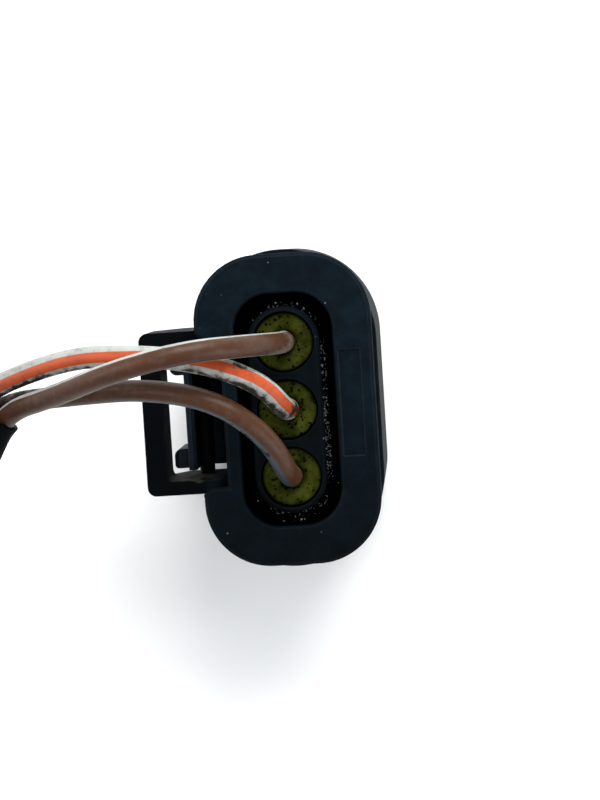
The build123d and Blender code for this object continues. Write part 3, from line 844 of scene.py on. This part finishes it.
class ConnectorSizes(PropertyGroup):
    """Sizes of the pieces that are made here."""

    wire: FloatProperty(
        name="Wire", description="Diameter over the insulation", default=2.2 * MM, unit="LENGTH"
    )
    strand: FloatProperty(
        name="Strand", description="Diameter of a copper strand", default=0.38 * MM, unit="LENGTH"
    )
    strand_lay: FloatProperty(
        name="Lay", description="Length of one twist of the strands", default=11 * MM, unit="LENGTH"
    )
    bare: FloatProperty(
        name="Bare length", description="Bare strands at a wire's end", default=6 * MM, unit="LENGTH"
    )
    sleeve: FloatProperty(
        name="Sleeve", description="Outer diameter of the sleeve", default=8.2 * MM, unit="LENGTH"
    )
    sleeve_wall: FloatProperty(
        name="Sleeve wall", description="Wall of the sleeve", default=0.5 * MM, unit="LENGTH"
    )
    grains: IntProperty(name="Grains", description="Grains of grit in the groove", default=320, min=0)


class ConnectorColours(PropertyGroup):
    """Colours that a user would change."""

    nylon: FloatVectorProperty(
        name="Nylon", description="Housing", subtype="COLOR", default=linear("#0b171f")[:3], min=0, max=1
    )
    silicone: FloatVectorProperty(
        name="Silicone", description="Seals", subtype="COLOR", default=linear("#363a0f")[:3], min=0, max=1
    )


class CONNECTOR_OT_stage(Operator):
    """Makes the floor, the lights and the camera"""

    bl_idname = "connector.stage"
    bl_label = "Studio"

    def execute(self, context):
        scene = context.scene
        board = make_piece(
            "floor",
            np.array([(-0.9, -0.9, 0), (0.9, -0.9, 0), (0.9, 0.9, 0), (-0.9, 0.9, 0)]),
            [(0, 1, 2, 3)],
        )
        finish_with(board, studio_floor())

        scene.view_settings.view_transform = "Standard"
        world = bpy.data.worlds.new("studio_air")
        scene.world = world
        world.use_nodes = True
        air = world.node_tree.nodes["Background"]
        air.inputs["Color"].default_value = linear("#e8edf2")
        air.inputs["Strength"].default_value = 0.68

        for name, place, size, power in (
            ("key_light", (0.08, 0.34, 0.32), 0.34, 3.3),
            ("fill_light", (-0.46, 0.10, 0.28), 0.36, 1.6),
            ("rim_light", (0.38, -0.30, 0.24), 0.34, 1.2),
        ):
            light = bpy.data.lights.new(name, "AREA")
            light.size = size
            light.energy = power
            lamp = bpy.data.objects.new(name, light)
            lamp.location = place
            lamp.rotation_euler = (-Vector(place)).to_track_quat("-Z", "Y").to_euler()
            scene.collection.objects.link(lamp)

        lens = bpy.data.cameras.new("camera")
        lens.lens = 117.0
        lens.sensor_width = 36.0
        lens.clip_start = 0.01
        camera = bpy.data.objects.new("camera", lens)
        place = Vector(CAMERA_PLACE) * MM
        ahead = (Vector(CAMERA_TARGET) * MM - place).normalized()
        right = Vector(CAMERA_RIGHT)
        right = (right - ahead * right.dot(ahead)).normalized()
        up = right.cross(ahead)
        turn = Matrix((right, up, -ahead)).transposed()
        camera.matrix_world = Matrix.Translation(place) @ turn.to_4x4()
        scene.collection.objects.link(camera)
        scene.camera = camera
        return {"FINISHED"}


class CONNECTOR_OT_wires(Operator):
    """Makes the three striped wires with their bare ends, each running through the sleeve made before"""

    bl_idname = "connector.wires"
    bl_label = "Wires"

    def execute(self, context):
        sizes = context.scene.connector_sizes
        brown = "#452918"
        finishes = (
            insulation("extruded_insulation_brown_white", brown, "#9c9f9b", 0.12, 2),
            insulation("extruded_insulation_white_orange", "#a1a39e", "#b34a22", 0.16, 2),
            insulation("extruded_insulation_brown_blue", brown, "#323b42", 0.17, 1),
        )
        copper = metal("drawn_bare_copper", "#8f4e30", "#d08a60", 0.3, 0.15 * MM)
        for number, name in enumerate(WIRES):
            bundle = beside(BUNDLE_ROUTE, *BUNDLE_PLACES[number])
            route = np.vstack([SEAL_RUNS[number], FREE_ROUTES[number], bundle, TAIL_ROUTES[number]])
            line, places = smooth_line(route, 0.4 * MM)
            dirt = {"grime_and_shade": GRIME_AND_SHADE[number], "dust": DUST[number]}
            wire = tube(name + "_insulation", line, places, sizes.wire / 2, 48, STRIPE_TURNS[number], dirt)
            finish_with(wire, finishes[number])
            strands = self.bare_end(number, line[-1], line[-1] - line[-3], sizes)
            finish_with(strands, copper)
            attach(wire, "connector")
            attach(strands, "connector")
            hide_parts(name)
            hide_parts(f"bare_strands_{number + 1}")
        return {"FINISHED"}

    def bare_end(self, number, end, heading, sizes):
        """Seven copper strands: one straight and six on a helix about it, which opens slightly at the tip.
        They start inside the insulation and are cut at slightly different lengths."""
        inside = 1.5 * MM
        steps = np.linspace(-inside, sizes.bare, 40)
        ahead = unit(heading)
        across = unit(np.cross(ahead, (0, 0, 1)))
        above = np.cross(across, ahead)
        opening = 1 + 0.16 * np.clip(steps / sizes.bare, 0, 1) ** 2
        sides = 10
        points = []
        faces = []
        for strand in range(7):
            reach = 0.0 if strand == 0 else 1.02 * sizes.strand
            length = 1 - 0.05 * ((strand * 3) % 4)
            swing = TURN * (steps / sizes.strand_lay + strand / 6)
            centre = end + (steps * length)[:, None] * ahead
            centre = centre + (reach * opening * np.cos(swing))[:, None] * across
            centre = centre + (reach * opening * np.sin(swing))[:, None] * above
            first, second = carried_frames(centre, across)
            angle = TURN * (np.arange(sides) / sides)[None, :, None]
            ring = np.cos(angle) * first[:, None] + np.sin(angle) * second[:, None]
            rings = centre[:, None] + sizes.strand / 2 * ring
            base = len(steps) * sides * strand
            last = base + (len(steps) - 1) * sides
            points.append(rings.reshape(-1, 3))
            faces += (joined_rings(rings, False).reshape(-1, 4) + base).tolist()
            faces += [list(range(base, base + sides))[::-1], list(range(last, last + sides))]
        return make_piece(f"copper_ends_{number + 1}", np.vstack(points), faces)


class CONNECTOR_OT_sleeve(Operator):
    """Makes the soft sleeve round the bundle"""

    bl_idname = "connector.sleeve"
    bl_label = "Sleeve"

    def execute(self, context):
        sizes = context.scene.connector_sizes
        route = np.array((SLEEVE_MOUTH,) + BUNDLE_ROUTE[1:])
        line, places = smooth_line(route, 0.35 * MM)
        first, second = carried_frames(line, (0, 0, 1))
        outer = sizes.sleeve / 2
        inner = outer - sizes.sleeve_wall
        lip = 0.14 * MM
        length = places[-1]
        middle = np.linspace(lip, length - lip, 190)
        along = np.concatenate([[0.0], middle, [length], [length], middle[::-1], [0.0]])
        reach = np.concatenate(
            [
                [outer - lip],
                np.full(len(middle), outer),
                [outer - lip],
                [inner + lip],
                np.full(len(middle), inner),
                [inner + lip],
            ]
        )
        sides = 72
        turn = TURN * np.arange(sides) / sides
        # Shallow creases where the tube bends down to the floor: a train of waves that fades on both sides
        crease_depth, crease_pitch = 0.10 * MM, 2.6 * MM
        bend = np.exp(-(((along - 0.48 * length) / (0.17 * length)) ** 2))
        crease = 0.5 + 0.5 * np.sin(TURN * along / crease_pitch)
        under = 0.5 - 0.5 * np.cos(turn)
        waves = crease_depth * (bend * crease)[:, None] * under[None, :]
        # The tube is a little out of round, to one side and the other every 17 mm
        oval, oval_pitch = 0.03 * MM, 17 * MM
        soft = oval * (1 + np.sin(TURN * along / oval_pitch)[:, None] * np.cos(2 * turn)[None, :])
        # The mouth is stretched open over its first millimetre
        flare_height, flare_length = 0.32 * MM, 0.9 * MM
        flare = flare_height * np.exp(-((along / flare_length) ** 2))
        radius = (reach[:, None] + flare[:, None] - waves - soft)[..., None]
        centre, e1, e2 = (
            np.column_stack([np.interp(along, places, rows[:, k]) for k in range(3)])[:, None]
            for rows in (line, first, second)
        )
        rings = centre + radius * (np.cos(turn)[None, :, None] * e1 + np.sin(turn)[None, :, None] * e2)
        sleeve = make_piece(
            "vinyl_sleeve", rings.reshape(-1, 3), joined_rings(rings, True).reshape(-1, 4).tolist()
        )
        finish_with(sleeve, soft_vinyl())
        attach(sleeve, "connector")
        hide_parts("harness_sleeve")
        return {"FINISHED"}


class CONNECTOR_OT_wire_seals(Operator):
    """Turns the three ribbed wire seals"""

    bl_idname = "connector.wire_seals"
    bl_label = "Wire seals"

    def execute(self, context):
        sizes = context.scene.connector_sizes
        silicone = olive_silicone()
        for number, row in enumerate(CAVITY_ROWS):
            node = f"wire_seal_{number + 1}"
            low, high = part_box(node)
            seal = self.turned(f"ribbed_wire_seal_{number + 1}", row * MM, low[2], high[2], sizes.wire / 2)
            finish_with(seal, silicone)
            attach(seal, "connector")
            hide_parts(node)
        return {"FINISHED"}

    def turned(self, name, row, bottom, top, wire):
        """A closed outline of radius and height turned about the cavity's axis.
        The ribs are three bell curves on the core. The rear face has a rounded edge, is dished by a share of
        the way in, and sinks by that share's sixth power, which is steep at the wire."""
        neck = 1.75 * MM
        core = 2.6 * MM
        face = 2.95 * MM
        bore = wire - 0.04 * MM
        step = bottom + 2.0 * MM
        rib, rib_width, rib_places = 0.5 * MM, 0.36 * MM, (1.1 * MM, 2.8 * MM, 4.5 * MM)
        rounding = 0.3 * MM
        dished, sunk = 0.28 * MM, 0.55 * MM
        rib_height = np.linspace(step, top - 1.25 * MM, 60)
        ribs = sum(np.exp(-(((rib_height - step - at) / rib_width) ** 2)) for at in rib_places)
        rib_radius = core + rib * ribs
        edge_turn = np.linspace(-0.25, 0.25, 12) * TURN
        edge_radius = face - rounding + rounding * np.cos(edge_turn)
        edge_height = top - 0.5 * MM + rounding * np.sin(edge_turn)
        edge_height = np.where(edge_turn > 0, edge_height + 0.2 * MM, edge_height)
        dish = np.linspace(0, 1, 28)
        dish_radius = (face - 0.35 * MM) * (1 - dish) + (wire - 0.02 * MM) * dish
        dish_height = top - dished * dish - sunk * dish**6
        foot = [bottom, bottom, step - 0.1 * MM, step]
        radius = np.concatenate([[bore, neck, neck, core], rib_radius, edge_radius, dish_radius, [bore]])
        height = np.concatenate([foot, rib_height, edge_height, dish_height, [top - 1.2 * MM]])
        sides = 96
        turn = -TURN * np.arange(sides) / sides
        rings = np.stack(
            [
                radius[:, None] * np.cos(turn)[None, :],
                row + radius[:, None] * np.sin(turn)[None, :],
                np.broadcast_to(height[:, None], (len(height), sides)),
            ],
            -1,
        )
        return make_piece(name, rings.reshape(-1, 3), joined_rings(rings, True).reshape(-1, 4).tolist())


class CONNECTOR_OT_interface_seal(Operator):
    """Carries the ribbed outline of the interface seal round the nose"""

    bl_idname = "connector.interface_seal"
    bl_label = "Interface seal"

    def execute(self, context):
        low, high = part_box("interface_seal")
        reach = high[0]
        centre = high[1] - high[0]
        inner = 2.95 * MM
        bottom, top = low[2], high[2]
        length = top - bottom
        share = np.linspace(0, 1, 64)
        ribs = sum(np.exp(-(((share - at) / 0.09) ** 2)) for at in (0.34, 0.68))
        rib = 0.6 * MM
        corner = 0.1 * MM
        outside = reach - rib + rib * ribs
        offset = np.concatenate([[inner + corner], outside, [inner + corner, inner, inner]])
        height = np.concatenate(
            [[bottom], bottom + length * share, [top, top - corner, bottom + corner]]
        )
        half = np.linspace(-0.25, 0.25, 49) * TURN
        turn = np.concatenate([half, half + TURN / 2])
        middle = np.where(np.arange(len(turn)) < len(half), 1.0, -1.0)
        # The outline runs round the end at +Y with its normal from +X to -X, and then round the end at -Y
        heading = turn + TURN / 4
        normal = np.stack([np.cos(heading), np.sin(heading)], -1)
        rings = np.stack(
            [
                normal[:, None, 0] * offset[None, :],
                normal[:, None, 1] * offset[None, :] + (middle * centre)[:, None],
                np.broadcast_to(height[None, :], (len(turn), len(height))),
            ],
            -1,
        )
        seal = make_piece(
            "ribbed_interface_seal", rings.reshape(-1, 3), joined_rings(rings, True).reshape(-1, 4).tolist()
        )
        finish_with(seal, olive_silicone())
        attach(seal, "connector")
        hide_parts("interface_seal")
        return {"FINISHED"}


class CONNECTOR_OT_mouldings(Operator):
    """Finishes the housing, the latch lever and the secondary lock"""

    bl_idname = "connector.mouldings"
    bl_label = "Mouldings"

    def execute(self, context):
        finish_with(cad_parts["housing"], black_nylon())
        finish_with(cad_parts["latch_lever"], black_acetal())
        finish_with(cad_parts["secondary_lock"], grey_polyamide())
        return {"FINISHED"}


class CONNECTOR_OT_contacts(Operator):
    """Finishes the terminals, their springs and the crimped strands"""

    bl_idname = "connector.contacts"
    bl_label = "Contacts"

    def execute(self, context):
        tin = metal("tin_plated_bronze_strip", "#9c9a94", "#c9c6be", 0.36, 0.3 * MM)
        steel = metal("rolled_spring_steel", "#8b8d8f", "#b9bbbc", 0.3, 0.2 * MM)
        copper = metal("crimped_copper", "#8f4e30", "#c98258", 0.34, 0.15 * MM)
        for number in (1, 2, 3):
            finish_with(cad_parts[f"terminal_{number}"], tin)
            finish_with(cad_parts[f"terminal_spring_{number}"], steel)
            finish_with(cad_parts[f"crimped_strands_{number}"], copper)
        return {"FINISHED"}


class CONNECTOR_OT_grit(Operator):
    """Scatters grains of grit on the walls of the rear groove"""

    bl_idname = "connector.grit"
    bl_label = "Grit"

    def execute(self, context):
        sizes = context.scene.connector_sizes
        rng = np.random.default_rng(7)
        count = sizes.grains
        pitch = CAVITY_PITCH
        island = 3.6
        # Most lie along the island's side away from the latch, the others round its lower and upper ends
        where = rng.random(count)
        ends = where > 0.6
        lower = where > 0.74
        angle = rng.normal(0.35, 0.6, count)
        across = np.where(ends, np.sin(angle), 1.0)
        upward = np.where(ends, np.where(lower, -1.0, 1.0) * np.cos(angle), 0.0)
        row = np.where(ends, np.where(lower, -pitch, pitch), rng.uniform(-pitch, pitch, count))
        gap = 0.04 + np.where(lower, 1.1, 0.45) * rng.random(count) ** 2
        size = 0.03 + 0.08 * rng.random(count) ** 2
        centre = np.column_stack(
            [
                (island + gap) * across,
                row + (island + gap) * upward,
                26.5 - 2.6 * rng.random(count) ** 1.6,
            ]
        )
        golden = (1 + 5**0.5) / 2
        # An icosahedron's corners are those of three golden rectangles, one square to each axis
        signs = np.array([(s, t * golden, 0.0) for s in (-1, 1) for t in (-1, 1)])
        corners = unit(np.vstack([np.roll(signs, turn, axis=1) for turn in range(3)]))
        shape = rng.uniform(0.55, 1.25, (count, 12, 1)) * corners[None]
        stretch = rng.uniform(0.6, 1.6, (count, 1, 3))
        points = (centre[:, None] + size[:, None, None] * shape * stretch) * MM
        faces = self.hull_faces(corners)
        every = (faces[None] + 12 * np.arange(count)[:, None, None]).reshape(-1, 3)
        grit = make_piece("groove_grit", points.reshape(-1, 3), every.tolist())
        finish_with(grit, grey_grit())
        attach(grit, "connector")
        return {"FINISHED"}

    def hull_faces(self, corners):
        """The twenty faces of an icosahedron: every three corners that are all neighbours, turned outwards."""
        apart = np.linalg.norm(corners[:, None] - corners[None], axis=-1)
        next_to = (apart > 0.1) & (apart < 1.2)
        i, j, k = np.nonzero(next_to[:, :, None] & next_to[:, None, :] & next_to[None, :, :])
        ordered = (i < j) & (i < k)
        i, j, k = i[ordered], j[ordered], k[ordered]
        across = np.cross(corners[j] - corners[i], corners[k] - corners[i])
        outward = np.einsum("ij,ij->i", across, corners[i])
        return np.column_stack([i, j, k])[outward > 0]


class CONNECTOR_PT_panel(Panel):
    """Lists the sizes, the colours and the pieces"""

    bl_idname = "CONNECTOR_PT_panel"
    bl_label = "Sealed connector"
    bl_space_type = "VIEW_3D"
    bl_region_type = "UI"
    bl_category = "Connector"

    def draw(self, context):
        for group in (context.scene.connector_sizes, context.scene.connector_colours):
            box = self.layout.box()
            for name in group.bl_rna.properties.keys():
                if name not in ("rna_type", "name"):
                    box.prop(group, name)
        for operator in OPERATORS:
            self.layout.operator(operator.bl_idname)


OPERATORS = (
    CONNECTOR_OT_stage,
    CONNECTOR_OT_sleeve,
    CONNECTOR_OT_wires,
    CONNECTOR_OT_wire_seals,
    CONNECTOR_OT_interface_seal,
    CONNECTOR_OT_mouldings,
    CONNECTOR_OT_contacts,
    CONNECTOR_OT_grit,
)
CLASSES = (ConnectorSizes, ConnectorColours) + OPERATORS + (CONNECTOR_PT_panel,)


def register():
    for item in CLASSES:
        bpy.utils.register_class(item)
    bpy.types.Scene.connector_sizes = PointerProperty(type=ConnectorSizes)
    bpy.types.Scene.connector_colours = PointerProperty(type=ConnectorColours)


def unregister():
    del bpy.types.Scene.connector_sizes
    del bpy.types.Scene.connector_colours
    for item in reversed(CLASSES):
        bpy.utils.unregister_class(item)


def main():
    register()
    bpy.ops.connector.stage()
    bpy.ops.connector.sleeve()
    bpy.ops.connector.wires()
    bpy.ops.connector.wire_seals()
    bpy.ops.connector.interface_seal()
    bpy.ops.connector.mouldings()
    bpy.ops.connector.contacts()
    bpy.ops.connector.grit()


if __name__ == "__main__":
    main()
